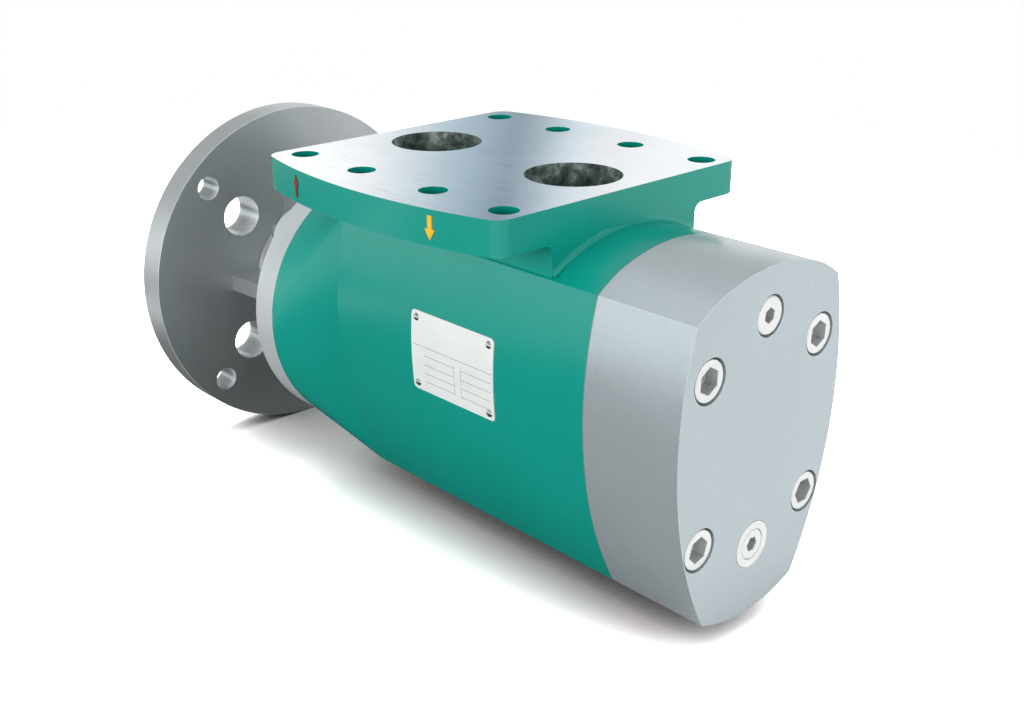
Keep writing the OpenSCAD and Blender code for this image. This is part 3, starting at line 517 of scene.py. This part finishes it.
nameplate = {
    "edge": 0.2 * mm, "left": 250.6 * mm, "top": 42.1 * mm, "line": 0.35 * mm,
    # each line runs from left to right, or from top to bottom, in mm from the plate's corner
    "across": [(1.2, 74.2, 22.6), (12, 40, 28.5), (12, 40, 34.6), (12, 40, 40.4), (12, 40, 46.2),
               (46.5, 73.5, 28.5), (46.5, 73.5, 34.6), (46.5, 73.5, 40.4), (46.5, 73.5, 46.2)],
    "down": [(27, 47, 40.2), (27, 47, 46.3)],
}
bm = weldedCopy("nameplate")
markRounded(bm)
half = nameplate["line"] / 2
boxes = [(nameplate["left"] + a * mm, nameplate["left"] + b * mm, nameplate["top"] - v * mm - half,
          nameplate["top"] - v * mm + half) for a, b, v in nameplate["across"]]
boxes += [(nameplate["left"] + u * mm - half, nameplate["left"] + u * mm + half, nameplate["top"] - b * mm,
           nameplate["top"] - a * mm) for a, b, u in nameplate["down"]]
for axis, cuts in ((0, {x for box in boxes for x in box[:2]}), (2, {z for box in boxes for z in box[2:]})):
    normal = [1 if i == axis else 0 for i in range(3)]
    for cut in sorted(cuts):
        bmesh.ops.bisect_plane(bm, geom=bm.verts[:] + bm.edges[:] + bm.faces[:], dist=1e-7,
                               plane_co=[cut * n for n in normal], plane_no=normal)
for face in bm.faces:
    middle = face.calc_center_median()
    if face.normal.y < -0.5 and any(x0 < middle.x < x1 and z0 < middle.z < z1 for x0, x1, z0, z1 in boxes):
        face.material_index = 1
plate = finishPiece(bm, "nameplate_sheet", ["plateAluminium", "printInk"], ["nameplate"])
roundEdges(plate, nameplate["edge"])
print("nameplate made")


# Floor and light

def rise(tree, value, low, high):
    # from nothing at low to one at high
    return addNode(tree, "MapRange", {"Value": value, "From Min": low, "From Max": high},
                   interpolation_type="SMOOTHSTEP").outputs[0]


def band(tree, value, low, lowFull, highFull, high):
    # one between the two inner values, nothing past the outer ones
    return calc(tree, "SUBTRACT", rise(tree, value, low, lowFull), rise(tree, value, highFull, high))


floorPlan = {
    "z": -0.1255, "size": 60.0,
    # reach and strength of the painted contact shadow, which ambient occlusion darkens into the floor
    "paintedShadowReach": 0.12, "paintedShadowPower": 1.8,
    # distances from the pump at which the floor turns plain white, seen and mirrored
    "seenFar": (0.5, 1.3), "mirroredFar": (0.85, 1.2),
    # bright cards on the floor along X, in front of the cover and beside the bracket
    "card": (0.42, 0.52, 0.84, 0.95), "backCard": (-0.14, -0.24, -0.30, -0.42),
    # where the casing's green bounce light falls on the floor, and a painted tint that takes that light's colour off
    "castX": (0.08, 0.22, 0.36, 0.5), "pale": (6.9, 6.9, 6.9, 1), "paleByCasing": (7.6, 6.65, 6.85, 1),
    "bounce": (0.5, 0.5, 0.5, 1), "mirroredBounce": (0.10, 0.10, 0.10, 1),
}

floorMaterial = bpy.data.materials.new("studioFloor")
floorMaterial.use_nodes = True
tree = floorMaterial.node_tree
tree.nodes.clear()
path = addNode(tree, "LightPath")
isSeen, isMirrored = path.outputs["Is Camera Ray"], path.outputs["Is Glossy Ray"]
place = addNode(tree, "TexCoord").outputs["Object"]
reach = addNode(tree, "VectorMath", {0: place}, operation="LENGTH").outputs["Value"]
along = addNode(tree, "SeparateXYZ", {"Vector": place}).outputs["X"]

# near the pump the floor keeps its shadow, and ambient occlusion paints a darker contact shadow there; further off it
# is plain white; shiny surfaces see it dark close by
cards = calc(tree, "MAXIMUM", band(tree, along, *floorPlan["card"]), band(tree, along, *floorPlan["backCard"]))
mirrored = calc(tree, "MAXIMUM", rise(tree, reach, *floorPlan["mirroredFar"]), cards)
share = calc(tree, "MULTIPLY_ADD", rise(tree, reach, *floorPlan["seenFar"]), isSeen,
             calc(tree, "MULTIPLY", mirrored, isMirrored))
# ambient occlusion darkens the floor's seen colour near the pump: a painted contact shadow
paintedContactShadow = addNode(tree, "AmbientOcclusion", {"Distance": floorPlan["paintedShadowReach"]}, samples=16).outputs["AO"]
# the band beside the casing where a painted tint takes off the green light that it bounces onto the floor
castFrom, castFull, castEnd, castGone = floorPlan["castX"]
cast = calc(tree, "MULTIPLY", rise(tree, along, castFrom, castFull),
            calc(tree, "SUBTRACT", 1.0, rise(tree, along, castEnd, castGone)))
pale = mixColour(tree, cast, floorPlan["pale"], floorPlan["paleByCasing"])
seen = mixColour(tree, calc(tree, "POWER", paintedContactShadow, floorPlan["paintedShadowPower"]), (0, 0, 0, 1), pale)
bounce = mixColour(tree, isMirrored, floorPlan["bounce"], floorPlan["mirroredBounce"])
ground = addNode(tree, "BsdfDiffuse", {"Color": mixColour(tree, isSeen, bounce, seen)})
glow = addNode(tree, "Emission", {"Color": (1, 1, 1, 1), "Strength": 1.0})
blend = addNode(tree, "MixShader", {0: share, 1: ground.outputs[0], 2: glow.outputs[0]})
addNode(tree, "OutputMaterial", {"Surface": blend.outputs[0]})

bpy.ops.mesh.primitive_plane_add(size=floorPlan["size"], location=(0, 0, floorPlan["z"]))
floor = bpy.context.object
floor.name = "studioFloor"
floor.data.materials.append(floorMaterial)

studio = {
    # what shiny surfaces see: a pale room by height, and by turn a dark gap behind the pump
    "room": [(0.0, 1.6), (0.12, 1.2), (0.24, 0.45), (0.42, 0.36), (0.7, 0.5), (0.9, 0.85)],
    "gap": [(0.850, 1.25), (0.861, 1.12), (0.8675, 1.0), (0.8725, (0.76, 0.88, 0.95, 1)),
            (0.8775, (0.28, 0.35, 0.41, 1)), (0.886, (0.5, 0.63, 0.71, 1)), (0.898, 1.1), (0.906, 1.3)],
    # windows are from, to and softness, by turn and by height
    "gapTurn": (0.845, 0.93, 0.012), "gapHeight": (0.04, 0.36, 0.06), "gapLean": 0.035, "gapLeanFrom": 0.24,
    "sideTurn": (0.09, 0.17, 0.015), "sideHeight": (0.05, 0.8, 0.08), "sideColour": (0.2, 0.22, 0.24, 1),
    # what lights everything else
    "fill": [(0.0, 0.62), (0.3, 0.42), (0.7, 0.3)], "fillStrength": 0.85,
}

world = bpy.data.worlds.new("studio")
bpy.context.scene.world = world
world.use_nodes = True
tree = world.node_tree
tree.nodes.clear()
path = addNode(tree, "LightPath")
parts = addNode(tree, "SeparateXYZ", {"Vector": addNode(tree, "TexCoord").outputs["Generated"]})
height = parts.outputs["Z"]
turn = calc(tree, "MULTIPLY_ADD", calc(tree, "ARCTAN2", parts.outputs["Y"], parts.outputs["X"]),
            1 / (2 * math.pi), 0.5)


def window(value, low, high, soft):
    fall = calc(tree, "SUBTRACT", 1.0, rise(tree, value, high - soft, high + soft))
    return calc(tree, "MULTIPLY", rise(tree, value, low - soft, low + soft), fall)


room = ramp(tree, height, *studio["room"])
lean = calc(tree, "MULTIPLY", calc(tree, "SUBTRACT", height, studio["gapLeanFrom"]), studio["gapLean"])
gapTurn = calc(tree, "SUBTRACT", turn, lean)
inGap = calc(tree, "MULTIPLY", window(gapTurn, *studio["gapTurn"]), window(height, *studio["gapHeight"]))
seenRoom = mixColour(tree, inGap, room, ramp(tree, gapTurn, *studio["gap"]))
sideBox = calc(tree, "MULTIPLY", window(turn, *studio["sideTurn"]), window(height, *studio["sideHeight"]))
sideGlow = mixColour(tree, sideBox, (0, 0, 0, 1), studio["sideColour"])
dome = addNode(tree, "Background", {"Color": mixColour(tree, 1.0, seenRoom, sideGlow, "ADD"), "Strength": 1.0})
plain = addNode(tree, "Background", {"Color": (1, 1, 1, 1), "Strength": 1.0})
fill = addNode(tree, "Background", {"Color": ramp(tree, height, *studio["fill"]), "Strength": studio["fillStrength"]})
lit = addNode(tree, "MixShader", {0: path.outputs["Is Glossy Ray"], 1: fill.outputs[0], 2: dome.outputs[0]})
whole = addNode(tree, "MixShader", {0: path.outputs["Is Camera Ray"], 1: lit.outputs[0], 2: plain.outputs[0]})
addNode(tree, "OutputWorld", {"Surface": whole.outputs[0]})

# name, place, what it shines at, width, height and watts
softBoxes = [
    ("keyLight", (0.3, -2.1, 0.5), (0.2, 0, 0.02), 1.6, 0.9, 32),
    ("topLight", (0.2, 0.05, 1.9), (0.2, 0, 0), 1.8, 1.4, 14),
    ("coverLight", (1.4, 0.3, 0.25), (0.45, 0, -0.02), 0.7, 0.7, 6.6),
]
for name, location, target, boxWidth, boxHeight, watts in softBoxes:
    lamp = bpy.data.lights.new(name, "AREA")
    lamp.shape = "RECTANGLE"
    lamp.size, lamp.size_y = boxWidth, boxHeight
    lamp.energy = watts
    box = bpy.data.objects.new(name, lamp)
    box.location = location
    box.rotation_euler = (Vector(target) - Vector(location)).to_track_quat("-Z", "Y").to_euler()
    box.visible_camera = False
    box.visible_glossy = False
    bpy.context.collection.objects.link(box)
print("stage made")
